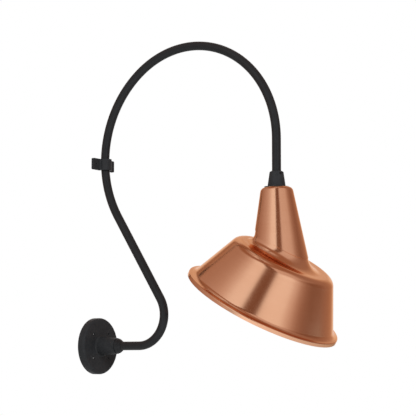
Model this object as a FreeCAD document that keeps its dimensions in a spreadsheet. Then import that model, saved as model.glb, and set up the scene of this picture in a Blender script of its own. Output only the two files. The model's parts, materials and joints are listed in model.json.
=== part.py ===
import FreeCAD
import Part
import Sketcher
import math
import os

# Gooseneck wall sconce: a round cast wall plate, a pipe arm that rises in one big hook, and a spun
# copper angle shade under it. Millimetres. The origin is the centre of the wall plate's back face.
# +Z is up, the wall is the plane Y = 0 and the lamp stands out from it along -Y.

SIZES = {
    # Wall plate, a shallow casting with a hub for the arm
    "plate_radius": 70.0,
    "plate_depth": 19.2,
    "plate_edge_round": 6.0,
    "plate_face_wall": 4.8,
    "cavity_radius": 57.0,
    "screw_circle": 83.5,
    "screw_hole": 6.8,
    "gasket_inner": 60.5,
    "gasket_outer": 66.0,
    "gasket_thick": 2.0,
    "hub_root_radius": 23.8,
    "hub_foot_round": 4.0,
    "hub_tip_radius": 19.6,
    "hub_reach": 70.0,
    "hub_relief_radius": 17.2,
    "hub_relief": 2.0,
    "collar_radius": 18.5,
    "collar_shoulder": 2.6,
    "collar_round": 8.0,
    "collar_length": 13.2,
    "collar_tip_radius": 11.4,
    "set_screw_size": 6.0,
    "set_screw_key": 3.0,
    "set_screw_socket": 2.4,
    "hub_screw_out": 46.0,
    "ground_screw_size": 4.0,
    "ground_screw_head": 8.6,
    "ground_screw_head_height": 2.8,
    "ground_screw_depth": 3.6,
    "ground_screw_slot": 1.1,
    "ground_screw_place": 34.0,
    # Arm, half-inch pipe bent in one plane: out, up, back past the wall and over in a hook
    "arm_size": 21.34,
    "arm_wall": 2.77,
    "arm_inset": 13.0,
    "arm_out": 136.1,
    "low_bend_radius": 75.0,
    "low_bend_turn": 122.28,
    "arm_rise": 245.9,
    "back_bend_radius": 268.2,
    "back_bend_turn": 85.98,
    "top_bend_radius": 248.8,
    "arm_drop": 95.3,
    "bushing_flange": 1.4,
    "bushing_sleeve": 8.0,
    "bushing_wall": 1.1,
    # Pipe strap that holds the arm's back bend to the wall
    "strap_height": 28.5,
    "strap_level": 456.5,
    "strap_half_span": 42.5,
    "strap_ear": 6.7,
    "strap_saddle_radius": 16.0,
    "strap_hole_spacing": 62.0,
    "strap_hole": 5.5,
    "strap_corner": 3.0,
    # Coupling, stem and swivel stack over the shade
    "coupling_length": 37.5,
    "coupling_top_radius": 16.4,
    "coupling_crown": 3.0,
    "coupling_crown_radius": 11.3,
    "coupling_foot_radius": 21.4,
    "coupling_grip": 18.5,
    "coupling_screw_drop": 7.0,
    "coupling_screw_turn": 26.0,
    "stem_size": 17.1,
    "stem_bore": 13.0,
    "stem_length": 76.2,
    "stem_grip": 17.5,
    "washer_radius": 28.8,
    "washer_thick": 1.95,
    "under_washer_radius": 15.0,
    "under_washer_thick": 2.2,
    "locknut_flats": 27.0,
    "locknut_thick": 5.0,
    # Shade: a spun dome and a leaning conical neck
    "sheet": 1.0,
    "neck_lean": 2.34,
    "neck_top_radius": 37.05,
    "neck_top_round": 10.8,
    "neck_taper": 10.13,
    "neck_length": 155.8,
    "shade_angle": 32.24,
    "dome_shift": 20.0,
    "dome_height": 129.8,
    "dome_top_radius": 121.83,
    "dome_round": 24.0,
    "rim_radius": 190.3,
    "rim_band": 9.0,
    "rim_round": 2.6,
    "flare_width": 12.8,
    "flare_rise": 2.7,
    "flare_round": 4.0,
    "foot_height": 14.0,
    "foot_lap": 8.0,
    "foot_fillet": 8.0,
    # Lampholder on the stem
    "holder_cap_grip": 9.0,
    "holder_cap_height": 24.0,
    "holder_cap_neck": 12.0,
    "holder_cap_crown": 8.0,
    "holder_radius": 21.0,
    "holder_wall": 2.4,
    "holder_length": 46.0,
    "holder_spigot": 5.0,
    "holder_mouth_radius": 19.0,
    "holder_mouth_flare": 2.4,
    "holder_floor": 15.0,
    "holder_screw_size": 3.0,
    "holder_screw_head": 6.0,
    "holder_screw_head_height": 1.8,
    "shell_inner": 13.35,
    "shell_sheet": 0.5,
    "shell_length": 27.0,
    "contact_width": 6.0,
    "contact_reach": 7.5,
    "contact_tip": 2.5,
    "contact_sheet": 0.6,
    "contact_rise": 2.4,
    "tab_gap": 1.4,
    # Lamp
    "lamp_length": 110.0,
    "lamp_radius": 30.0,
    "lamp_shoulder": 43.5,
    "lamp_shoulder_round": 60.0,
    "lamp_waist": 74.0,
    "lamp_waist_radius": 15.6,
    "lamp_waist_round": 40.0,
    "lamp_seam": 4.0,
    "lamp_glass": 0.9,
    "lamp_base_radius": 12.95,
    "lamp_base_sheet": 0.45,
    "lamp_base_length": 20.0,
    "lamp_contact_radius": 4.8,
    "lamp_contact_height": 1.6,
    "lamp_insulator_height": 4.4,
    # Leads inside the arm
    "lead_size": 2.4,
    "lead_spread": 9.6,
    "lead_inset": 4.0,
    # Fits
    "edge_break": 0.7,
    "slip_gap": 0.06,
    "swivel_gap": 0.08,
    "seat_gap": 0.3,
}

doc = FreeCAD.newDocument("wall_sconce")
sheet_cells = doc.addObject("Spreadsheet::Sheet", "Sizes")
for row, (alias, number) in enumerate(SIZES.items(), start=1):
    sheet_cells.set(f"A{row}", alias)
    sheet_cells.set(f"B{row}", str(number))
    sheet_cells.setAlias(f"B{row}", alias)
doc.recompute()


class Size:
    """A length or an angle: its number now, and the expression that ties it to the sheet."""

    def __init__(self, number, text):
        self.number = float(number)
        self.text = text

    def __add__(self, other):
        other = as_size(other)
        return Size(self.number + other.number, f"({self.text} + {other.text})")

    def __sub__(self, other):
        other = as_size(other)
        return Size(self.number - other.number, f"({self.text} - {other.text})")

    def __mul__(self, other):
        other = as_size(other)
        return Size(self.number * other.number, f"({self.text} * {other.text})")

    def __truediv__(self, other):
        other = as_size(other)
        return Size(self.number / other.number, f"({self.text} / {other.text})")

    def __neg__(self):
        return Size(-self.number, f"(0 - {self.text})")


def as_size(value):
    return value if isinstance(value, Size) else Size(value, repr(float(value)))


def sine(angle):
    return Size(math.sin(math.radians(angle.number)), f"sin({angle.text} * 1 deg)")


def cosine(angle):
    return Size(math.cos(math.radians(angle.number)), f"cos({angle.text} * 1 deg)")


def tangent(angle):
    return Size(math.tan(math.radians(angle.number)), f"tan({angle.text} * 1 deg)")


S = {alias: Size(sheet_cells.get(alias), f"Sizes.{alias}") for alias in SIZES}
ZERO = Size(0.0, "0")
X_AXIS = FreeCAD.Vector(1, 0, 0)
Y_AXIS = FreeCAD.Vector(0, 1, 0)
Z_AXIS = FreeCAD.Vector(0, 0, 1)


def turned(axis, degrees):
    return FreeCAD.Placement(FreeCAD.Vector(), FreeCAD.Rotation(axis, degrees))


def moved(across=0.0, along=0.0, up=0.0):
    return FreeCAD.Placement(FreeCAD.Vector(across, along, up), FreeCAD.Rotation())


def new_body(label, placement=None):
    body = doc.addObject("PartDesign::Body", label)
    body.Label = label
    if placement:
        body.Placement = placement
    return body


def new_sketch(body, name, role, lift=ZERO):
    sketch = body.newObject("Sketcher::SketchObject", name)
    plane = [item for item in body.Origin.OriginFeatures if item.Role == role][0]
    sketch.AttachmentSupport = (plane, [""])
    sketch.MapMode = "FlatFace"
    sketch.setExpression(".AttachmentOffset.Base.z", lift.text)
    return sketch


def pin_point(sketch, geometry, end, across, up):
    """Ties one point of the sketch to sizes measured from the sketch's origin."""
    for kind, length in (("DistanceX", across), ("DistanceY", up)):
        index = sketch.addConstraint(Sketcher.Constraint(kind, -1, 1, geometry, end, length.number))
        sketch.setExpression(f"Constraints[{index}]", length.text)


def draw_outline(sketch, corners, closed=True):
    """Straight lines from corner to corner. A corner's third value rounds it with an arc."""
    places = [FreeCAD.Vector(corner[0].number, corner[1].number, 0) for corner in corners]
    count = len(corners)
    starts = list(places)
    ends = list(places)
    rounded = [index for index, corner in enumerate(corners) if len(corner) == 3]
    for index in rounded:
        before = (places[index - 1] - places[index]).normalize()
        after = (places[(index + 1) % count] - places[index]).normalize()
        half = before.getAngle(after) / 2
        reach = corners[index][2].number / math.tan(half)
        ends[index] = places[index] + before * reach
        starts[index] = places[index] + after * reach
    lines = []
    for index in range(count if closed else count - 1):
        line = Part.LineSegment(starts[index], ends[(index + 1) % count])
        lines.append(sketch.addGeometry(line, False))
    for index, corner in enumerate(corners):
        leaving = lines[index] if index < len(lines) else None
        arriving = lines[index - 1] if closed or index > 0 else None
        if index not in rounded:
            if leaving is not None and arriving is not None:
                sketch.addConstraint(Sketcher.Constraint("Coincident", arriving, 2, leaving, 1))
            held, end = (leaving, 1) if leaving is not None else (arriving, 2)
            pin_point(sketch, held, end, corner[0], corner[1])
            continue
        radius = corner[2]
        inward = ((ends[index] + starts[index]) * 0.5 - places[index]).normalize()
        half = (ends[index] - places[index]).getAngle(inward)
        centre = places[index] + inward * (radius.number / math.sin(half))
        first = math.atan2(ends[index].y - centre.y, ends[index].x - centre.x)
        last = math.atan2(starts[index].y - centre.y, starts[index].x - centre.x)
        counter_clockwise = (last - first) % (2 * math.pi) < math.pi
        if not counter_clockwise:
            first, last = last, first
        circle = Part.Circle(centre, Z_AXIS, radius.number)
        arc = sketch.addGeometry(Part.ArcOfCircle(circle, first, last), False)
        arc_in, arc_out = (1, 2) if counter_clockwise else (2, 1)
        sketch.addConstraint(Sketcher.Constraint("Tangent", arriving, 2, arc, arc_in))
        sketch.addConstraint(Sketcher.Constraint("Tangent", leaving, 1, arc, arc_out))
        bend = sketch.addConstraint(Sketcher.Constraint("Radius", arc, radius.number))
        sketch.setExpression(f"Constraints[{bend}]", radius.text)
        point = sketch.addGeometry(Part.Point(places[index]), True)
        pin_point(sketch, point, 1, corner[0], corner[1])
        sketch.addConstraint(Sketcher.Constraint("PointOnObject", point, 1, arriving))
        sketch.addConstraint(Sketcher.Constraint("PointOnObject", point, 1, leaving))
    return lines


def draw_channel(sketch, radius, middle, mouth):
    """A U that opens along the sketch's Y: a half circle about (0, middle) with straight sides."""
    sides = draw_outline(sketch, [(radius, middle), (radius, mouth), (-radius, mouth),
                                  (-radius, middle)], closed=False)
    circle = Part.Circle(FreeCAD.Vector(0, middle.number, 0), Z_AXIS, radius.number)
    arc = sketch.addGeometry(Part.ArcOfCircle(circle, math.pi, 2 * math.pi), False)
    sketch.addConstraint(Sketcher.Constraint("Coincident", sides[-1], 2, arc, 1))
    sketch.addConstraint(Sketcher.Constraint("Coincident", arc, 2, sides[0], 1))
    index = sketch.addConstraint(Sketcher.Constraint("DistanceY", -1, 1, arc, 3, middle.number))
    sketch.setExpression(f"Constraints[{index}]", middle.text)


def draw_route(sketch, start, steps):
    """A chain of runs and bends that starts at a point on the sketch's X axis and heads along -X.

    A step is ("run", length) or ("left" or "right", radius, turn)."""
    place = FreeCAD.Vector(start.number, 0, 0)
    heading = math.pi
    previous = None
    for step in steps:
        forward = FreeCAD.Vector(math.cos(heading), math.sin(heading), 0)
        if step[0] == "run":
            finish = place + forward * step[1].number
            piece = sketch.addGeometry(Part.LineSegment(place, finish), False)
            piece_in, piece_out = 1, 2
            index = sketch.addConstraint(Sketcher.Constraint("Distance", piece, step[1].number))
            sketch.setExpression(f"Constraints[{index}]", step[1].text)
        else:
            side = 1 if step[0] == "left" else -1
            radius, turn = step[1], step[2]
            centre = place + FreeCAD.Vector(-forward.y, forward.x, 0) * side * radius.number
            angle_in = math.atan2(place.y - centre.y, place.x - centre.x)
            angle_out = angle_in + side * math.radians(turn.number)
            spoke = FreeCAD.Vector(math.cos(angle_out), math.sin(angle_out), 0)
            finish = centre + spoke * radius.number
            circle = Part.Circle(centre, Z_AXIS, radius.number)
            ends = sorted((angle_in, angle_out))
            piece = sketch.addGeometry(Part.ArcOfCircle(circle, ends[0], ends[1]), False)
            piece_in, piece_out = (1, 2) if side > 0 else (2, 1)
            index = sketch.addConstraint(Sketcher.Constraint("Radius", piece, radius.number))
            sketch.setExpression(f"Constraints[{index}]", radius.text)
            span = math.radians(turn.number)
            index = sketch.addConstraint(Sketcher.Constraint("Angle", piece, span))
            sketch.setExpression(f"Constraints[{index}]", f"{turn.text} * 1 deg")
            heading += side * span
        if previous is None:
            pin_point(sketch, piece, piece_in, start, ZERO)
            sketch.addConstraint(Sketcher.Constraint("Horizontal", piece))
        else:
            joint = Sketcher.Constraint("Tangent", previous[0], previous[1], piece, piece_in)
            sketch.addConstraint(joint)
        previous = (piece, piece_out)
        place = finish
    return place


def draw_circle(sketch, radius, across=ZERO, up=ZERO):
    centre = FreeCAD.Vector(across.number, up.number, 0)
    circle = sketch.addGeometry(Part.Circle(centre, Z_AXIS, radius.number), False)
    pin_point(sketch, circle, 3, across, up)
    index = sketch.addConstraint(Sketcher.Constraint("Radius", circle, radius.number))
    sketch.setExpression(f"Constraints[{index}]", radius.text)


def turn_profile(body, name, corners, kind="PartDesign::Revolution"):
    """Turns an outline of (radius, height) corners about the body's own Z axis."""
    sketch = new_sketch(body, f"{name}_sketch", "YZ_Plane")
    draw_outline(sketch, corners)
    feature = body.newObject(kind, name)
    feature.Profile = sketch
    feature.ReferenceAxis = (sketch, ["V_Axis"])
    feature.Angle = 360
    return feature


def extrude(body, name, sketch, length, kind="PartDesign::Pad", midplane=False, reverse=False):
    feature = body.newObject(kind, name)
    feature.Profile = sketch
    feature.Midplane = midplane
    feature.Reversed = reverse
    feature.setExpression("Length", length.text)
    return feature


def repeat_round(body, name, feature, axis_role, count):
    pattern = body.newObject("PartDesign::PolarPattern", name)
    pattern.Originals = [feature]
    axis = [item for item in body.Origin.OriginFeatures if item.Role == axis_role][0]
    pattern.Axis = (axis, [""])
    pattern.Angle = 360
    pattern.Occurrences = count
    body.Tip = pattern
    return pattern


def cut_away(body, name, placement, width, depth):
    """Takes off all that lies above the placement's XY plane, over a square of that width."""
    box = body.newObject("PartDesign::SubtractiveBox", name)
    box.setExpression("Length", width.text)
    box.setExpression("Width", width.text)
    box.setExpression("Height", depth.text)
    box.Placement = placement.multiply(moved(-width.number / 2, -width.number / 2))
    return box


def hexagon(across_flats):
    """Corners of a hexagon with two flats square to the sketch's X."""
    reach = across_flats / 2 / cosine(Size(30, "30"))
    angles = [Size(angle, str(angle)) for angle in range(30, 390, 60)]
    return [(reach * cosine(angle), reach * sine(angle)) for angle in angles]


# Arm: its centreline as straight runs joined by tangent arcs, in the plane X = 0

def arm_route(wall_end, last_run):
    return [
        ("run", S["arm_out"] - wall_end),
        ("right", S["low_bend_radius"], S["low_bend_turn"]),
        ("run", S["arm_rise"]),
        ("left", S["back_bend_radius"], S["back_bend_turn"]),
        ("left", S["top_bend_radius"], S["low_bend_turn"] - S["back_bend_turn"] + 90),
        ("run", last_run),
    ]


def bent_pipe(label, wall_end, last_run, radii, aside=ZERO):
    """A pipe or a lead along the arm's route, shifted sideways. Radii: outside, then the bore."""
    body = new_body(label, moved(aside.number))
    route = new_sketch(body, f"{label}_route", "YZ_Plane")
    end = draw_route(route, -wall_end, arm_route(wall_end, last_run))
    section = new_sketch(body, f"{label}_section", "XZ_Plane", wall_end)
    for radius in radii:
        draw_circle(section, radius)
    doc.recompute()
    pipe = body.newObject("PartDesign::AdditivePipe", f"{label}_pipe")
    pipe.Profile = section
    pipe.Spine = (route, [f"Edge{number + 1}" for number in range(len(route.Geometry))])
    doc.recompute()
    length = sum(edge.Length for edge in route.Shape.Edges)
    inner = radii[1].number if len(radii) > 1 else 0.0
    area = math.pi * (radii[0].number ** 2 - inner ** 2)
    print(label, "length", round(length, 1), "volume over section x length",
          round(pipe.Shape.Volume / (area * length), 5))
    return body, end


def edges_where(shape, test):
    return [f"Edge{number}" for number, edge in enumerate(shape.Edges, start=1) if test(edge)]


def faces_where(shape, test):
    return [f"Face{number}" for number, face in enumerate(shape.Faces, start=1) if test(face)]


def shell_out(body, name, openings, wall):
    """Leaves a wall of even thickness inside the form, open at the named faces."""
    base = body.Tip
    feature = body.newObject("PartDesign::Thickness", name)
    feature.Base = (base, openings)
    feature.setExpression("Value", wall.text)
    feature.Reversed = True
    feature.Mode = 0
    feature.Join = 0
    return feature


def round_edges(body, name, edges, radius):
    base = body.Tip
    feature = body.newObject("PartDesign::Fillet", name)
    feature.Base = (base, edges)
    feature.setExpression("Radius", radius.text)
    return feature


def bore(body, name, radius, length, placement):
    """A round hole that starts at the placement and runs along its Z."""
    hole = body.newObject("PartDesign::SubtractiveCylinder", name)
    hole.setExpression("Radius", radius.text)
    hole.setExpression("Height", length.text)
    hole.Placement = placement
    return hole


arm_radius = S["arm_size"] / 2
arm_bore = arm_radius - S["arm_wall"]
stem_radius = S["stem_size"] / 2
arm_fit = arm_radius + S["slip_gap"]
stem_fit = stem_radius + S["slip_gap"]
stem_swivel = stem_radius + S["swivel_gap"]
out_of_wall = turned(X_AXIS, 90)


# Wall plate: the casting that takes the load, with its cavity, hub and four screw holes

def make_wall_plate():
    body = new_body("wall_plate", out_of_wall)
    roof = S["plate_depth"] - S["plate_face_wall"]
    hub_end = S["hub_reach"] + S["hub_relief"]
    turn_profile(body, "plate_casting", [
        (S["cavity_radius"], ZERO),
        (S["plate_radius"], ZERO),
        (S["plate_radius"], S["plate_depth"], S["plate_edge_round"]),
        (S["hub_root_radius"], S["plate_depth"], S["hub_foot_round"]),
        (S["hub_tip_radius"], S["hub_reach"], S["edge_break"]),
        (S["hub_relief_radius"], S["hub_reach"]),
        (S["hub_relief_radius"], hub_end),
        (arm_fit, hub_end),
        (arm_fit, roof),
        (S["cavity_radius"], roof, S["hub_foot_round"]),
    ])
    doc.recompute()
    turn_profile(body, "gasket_groove", [
        (S["gasket_inner"], ZERO),
        (S["gasket_outer"], ZERO),
        (S["gasket_outer"], S["gasket_thick"]),
        (S["gasket_inner"], S["gasket_thick"]),
    ], "PartDesign::Groove")
    doc.recompute()
    sketch = new_sketch(body, "screw_hole_sketch", "XY_Plane")
    side = S["screw_circle"] / 2 * cosine(Size(45, "45"))
    draw_circle(sketch, S["screw_hole"] / 2, side, side)
    hole = extrude(body, "screw_hole", sketch, S["plate_depth"] + 1, "PartDesign::Pocket",
                   reverse=True)
    repeat_round(body, "screw_holes", hole, "Z_Axis", 4)
    doc.recompute()
    down = turned(X_AXIS, 90)
    screw_seat = moved(0, 0, S["hub_screw_out"].number).multiply(down)
    bore(body, "set_screw_hole", S["set_screw_size"] / 2, S["plate_radius"], screw_seat)
    doc.recompute()
    ground = moved(-S["ground_screw_place"].number, 0, roof.number - 1)
    bore(body, "ground_screw_hole", S["ground_screw_size"] / 2, S["ground_screw_depth"] + 1, ground)
    return body


def make_wall_gasket():
    body = new_body("wall_gasket", out_of_wall)
    turn_profile(body, "gasket_ring", [
        (S["gasket_inner"] + S["slip_gap"], ZERO),
        (S["gasket_outer"] - S["slip_gap"], ZERO),
        (S["gasket_outer"] - S["slip_gap"], S["gasket_thick"]),
        (S["gasket_inner"] + S["slip_gap"], S["gasket_thick"]),
    ])
    return body


def make_hub_collar():
    start = S["hub_reach"] + S["hub_relief"]
    body = new_body("hub_collar", out_of_wall.multiply(moved(0, 0, start.number)))
    turn_profile(body, "collar_turning", [
        (arm_fit, ZERO),
        (S["collar_radius"], ZERO),
        (S["collar_radius"], S["collar_shoulder"], S["collar_round"]),
        (S["collar_tip_radius"], S["collar_length"]),
        (arm_fit, S["collar_length"]),
    ])
    return body


def make_set_screw(label, placement, length):
    """A socket set screw whose tip bears on the pipe. Its Z runs from the tip to the socket."""
    body = new_body(label, placement)
    tip_chamfer = S["set_screw_size"] / 12
    radius = S["set_screw_size"] / 2 - S["slip_gap"]
    turn_profile(body, f"{label}_blank", [
        (ZERO, ZERO),
        (radius - tip_chamfer, ZERO),
        (radius, tip_chamfer),
        (radius, length - tip_chamfer),
        (radius - tip_chamfer, length),
        (ZERO, length),
    ])
    doc.recompute()
    sketch = new_sketch(body, f"{label}_key", "XY_Plane", length)
    draw_outline(sketch, hexagon(S["set_screw_key"]))
    extrude(body, f"{label}_socket", sketch, S["set_screw_socket"], "PartDesign::Pocket")
    return body


def make_ground_screw():
    roof = S["plate_depth"] - S["plate_face_wall"]
    place = out_of_wall.multiply(moved(-S["ground_screw_place"].number, 0, roof.number))
    body = new_body("ground_screw", place)
    shank = S["ground_screw_size"] / 2 - S["slip_gap"]
    head = S["ground_screw_head"] / 2
    turn_profile(body, "ground_screw_blank", [
        (ZERO, -S["ground_screw_head_height"]),
        (head, -S["ground_screw_head_height"], S["ground_screw_slot"]),
        (head, ZERO),
        (shank, ZERO),
        (shank, S["ground_screw_depth"] - S["slip_gap"]),
        (ZERO, S["ground_screw_depth"] - S["slip_gap"]),
    ])
    doc.recompute()
    sketch = new_sketch(body, "ground_screw_slot_sketch", "XY_Plane", -S["ground_screw_head_height"])
    half = S["ground_screw_slot"] / 2
    draw_outline(sketch, [(-head, -half), (head, -half), (head, half), (-head, half)])
    extrude(body, "ground_screw_slot_cut", sketch, S["ground_screw_slot"], "PartDesign::Pocket",
            reverse=True)
    return body


def make_wire_bushing():
    start = S["arm_inset"]
    body = new_body("wire_bushing", out_of_wall.multiply(moved(0, 0, start.number)))
    sleeve = arm_bore - S["slip_gap"]
    inside = sleeve - S["bushing_wall"]
    flange = arm_radius - S["slip_gap"]
    turn_profile(body, "bushing_moulding", [
        (inside, -S["bushing_flange"], S["bushing_flange"] / 2),
        (flange, -S["bushing_flange"], S["bushing_flange"] / 2),
        (flange, ZERO),
        (sleeve, ZERO),
        (sleeve, S["bushing_sleeve"]),
        (inside, S["bushing_sleeve"]),
    ])
    return body


# Pipe strap: a cast saddle over the arm where its back bend comes nearest the wall

def back_bend_centre():
    low = S["low_bend_turn"]
    out = S["arm_out"] + S["low_bend_radius"] * sine(low) + S["arm_rise"] * cosine(low)
    up = S["low_bend_radius"] * (as_size(1) - cosine(low)) + S["arm_rise"] * sine(low)
    return out + S["back_bend_radius"] * sine(low), up - S["back_bend_radius"] * cosine(low)


def make_pipe_strap():
    body = new_body("pipe_strap")
    centre_out, centre_up = back_bend_centre()
    above = centre_up.number - S["strap_level"].number
    sag = S["back_bend_radius"].number - math.sqrt(S["back_bend_radius"].number ** 2 - above ** 2)
    pipe_out = centre_out - S["back_bend_radius"] + sag
    back = pipe_out - arm_radius
    front = back + S["strap_ear"]
    nose = pipe_out + S["strap_saddle_radius"]
    crown = S["strap_saddle_radius"] - S["edge_break"]
    side = S["strap_saddle_radius"]
    span = S["strap_half_span"]
    sketch = new_sketch(body, "strap_outline", "XY_Plane", S["strap_level"])
    draw_outline(sketch, [
        (-span, -back),
        (-span, -front),
        (-side, -front, S["strap_corner"]),
        (-side, -nose, crown),
        (side, -nose, crown),
        (side, -front, S["strap_corner"]),
        (span, -front),
        (span, -back),
    ])
    extrude(body, "strap_casting", sketch, S["strap_height"], midplane=True)
    doc.recompute()
    corners = edges_where(body.Tip.Shape, lambda edge: abs(edge.CenterOfMass.x) > span.number - 0.01
                          and abs(edge.tangentAt(edge.FirstParameter).y) > 0.99)
    round_edges(body, "ear_corners", corners, S["strap_corner"])
    doc.recompute()
    channel = new_sketch(body, "pipe_channel_sketch", "XY_Plane", centre_up)
    channel.setExpression(".AttachmentOffset.Base.y", (-centre_out).text)
    draw_channel(channel, arm_fit, S["back_bend_radius"], centre_out)
    saddle = body.newObject("PartDesign::Groove", "pipe_channel")
    saddle.Profile = channel
    saddle.ReferenceAxis = (channel, ["H_Axis"])
    saddle.Angle = 360
    doc.recompute()
    holes = new_sketch(body, "strap_hole_sketch", "XZ_Plane")
    for hand in (1, -1):
        draw_circle(holes, S["strap_hole"] / 2, S["strap_hole_spacing"] / 2 * hand, S["strap_level"])
    extrude(body, "strap_holes", holes, nose * 2, "PartDesign::Pocket", midplane=True)
    return body


# Levels of the stack over the shade, from the arm's lower end downwards

arm_tube, arm_end = bent_pipe("arm_tube", S["arm_inset"], S["arm_drop"], [arm_radius, arm_bore])
reach = -arm_end.x
coupling_level = arm_end.y + S["coupling_grip"].number - S["coupling_length"].number
neck_level = coupling_level - S["swivel_gap"].number - S["washer_thick"].number
locknut_level = (neck_level - S["sheet"].number - S["under_washer_thick"].number
                 - S["swivel_gap"].number - S["locknut_thick"].number)
stem_level = coupling_level + S["stem_grip"].number - S["stem_length"].number
cap_level = stem_level + S["holder_cap_grip"].number - S["holder_cap_height"].number
mouth_level = cap_level - S["holder_length"].number
floor_level = cap_level - S["holder_floor"].number
lamp_level = floor_level - S["contact_rise"].number - S["seat_gap"].number - S["lamp_length"].number
neck_frame = moved(0, -reach, neck_level).multiply(turned(X_AXIS, -S["neck_lean"].number))
dome_turn = S["shade_angle"].number
crossing = neck_frame.multiply(moved(0, 0, -S["neck_length"].number)).multiply(turned(X_AXIS, dome_turn))
dome_frame = crossing.multiply(moved(0, -S["dome_shift"].number, -S["dome_height"].number))


def make_coupling():
    body = new_body("neck_coupling", moved(0, -reach, coupling_level))
    length = S["coupling_length"]
    turn_profile(body, "coupling_turning", [
        (stem_fit, ZERO),
        (S["coupling_foot_radius"], ZERO, S["edge_break"]),
        (S["coupling_top_radius"], length - S["coupling_crown"], S["edge_break"] * 2),
        (S["coupling_crown_radius"], length),
        (arm_fit, length),
        (arm_fit, length - S["coupling_grip"]),
        (stem_fit, length - S["coupling_grip"]),
    ])
    doc.recompute()
    bore(body, "coupling_screw_hole", S["set_screw_size"] / 2, S["coupling_foot_radius"],
         coupling_screw_place(length.number - S["coupling_screw_drop"].number))
    return body


def coupling_screw_place(level):
    """Level with the screw, on the axis, with Z pointing outwards along the screw."""
    around = turned(Z_AXIS, -S["coupling_screw_turn"].number)
    return moved(0, 0, level).multiply(around).multiply(turned(X_AXIS, 90))


def make_stem():
    body = new_body("stem", moved(0, -reach, stem_level))
    inner = S["stem_bore"] / 2
    turn_profile(body, "stem_pipe", [
        (inner, ZERO),
        (stem_radius, ZERO, S["edge_break"]),
        (stem_radius, S["stem_length"], S["edge_break"]),
        (inner, S["stem_length"]),
    ])
    return body


def make_swivel_washer():
    """A rubber washer squeezed to a wedge, level on top and leaning with the neck below."""
    body = new_body("swivel_washer", neck_frame)
    turn_profile(body, "washer_disc", [
        (ZERO, ZERO),
        (S["washer_radius"], ZERO),
        (S["washer_radius"], S["washer_thick"] * 3),
        (ZERO, S["washer_thick"] * 3),
    ])
    doc.recompute()
    upright = turned(X_AXIS, S["neck_lean"].number)
    top = upright.multiply(moved(0, 0, S["washer_thick"].number))
    cut_away(body, "washer_top", top, S["washer_radius"] * 3, S["washer_thick"] * 5)
    doc.recompute()
    bore(body, "washer_bore", stem_swivel, S["washer_thick"] * 8,
         upright.multiply(moved(0, 0, -S["washer_thick"].number * 4)))
    return body


def make_under_washer():
    body = new_body("under_washer", neck_frame)
    top = -S["sheet"]
    foot = -S["sheet"] - S["under_washer_thick"] * 2
    turn_profile(body, "under_disc", [
        (ZERO, foot),
        (S["under_washer_radius"], foot),
        (S["under_washer_radius"], top),
        (ZERO, top),
    ])
    doc.recompute()
    upright = turned(X_AXIS, S["neck_lean"].number)
    level = -S["sheet"].number - S["under_washer_thick"].number
    below = upright.multiply(moved(0, 0, level)).multiply(turned(X_AXIS, 180))
    cut_away(body, "under_washer_foot", below, S["under_washer_radius"] * 3, S["under_washer_thick"] * 4)
    doc.recompute()
    bore(body, "under_washer_bore", stem_swivel, S["under_washer_thick"] * 8,
         upright.multiply(moved(0, 0, level * 2)))
    return body


def make_locknut():
    body = new_body("stem_locknut", moved(0, -reach, locknut_level))
    sketch = new_sketch(body, "locknut_outline", "XY_Plane")
    draw_outline(sketch, hexagon(S["locknut_flats"]))
    draw_circle(sketch, stem_fit)
    extrude(body, "locknut_blank", sketch, S["locknut_thick"])
    return body


# Shade: a dome spun from sheet, with a leaning neck that laps over a collar on the dome's top

def make_shade_neck():
    body = new_body("shade_neck", neck_frame)
    deep = S["neck_length"] * 1.5
    turn_profile(body, "neck_form", [
        (ZERO, ZERO),
        (S["neck_top_radius"], ZERO, S["neck_top_round"]),
        (S["neck_top_radius"] + deep * tangent(S["neck_taper"]), -deep),
        (ZERO, -deep),
    ])
    doc.recompute()
    foot = moved(0, 0, -S["neck_length"].number).multiply(turned(X_AXIS, dome_turn))
    below = foot.multiply(moved(0, 0, S["foot_height"].number)).multiply(turned(X_AXIS, 180))
    cut_away(body, "neck_foot", below, S["rim_radius"] * 2, S["rim_radius"])
    doc.recompute()
    slant = math.cos(math.radians(dome_turn))
    opening = faces_where(body.Tip.Shape, lambda face: isinstance(face.Surface, Part.Plane)
                          and abs(abs(face.normalAt(0, 0).z) - slant) < 0.001)
    shell_out(body, "neck_sheet", opening, S["sheet"])
    doc.recompute()
    upright = turned(X_AXIS, S["neck_lean"].number)
    bore(body, "neck_hole", stem_swivel, S["washer_thick"] * 8,
         upright.multiply(moved(0, 0, -S["washer_thick"].number * 4)))
    return body


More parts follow.
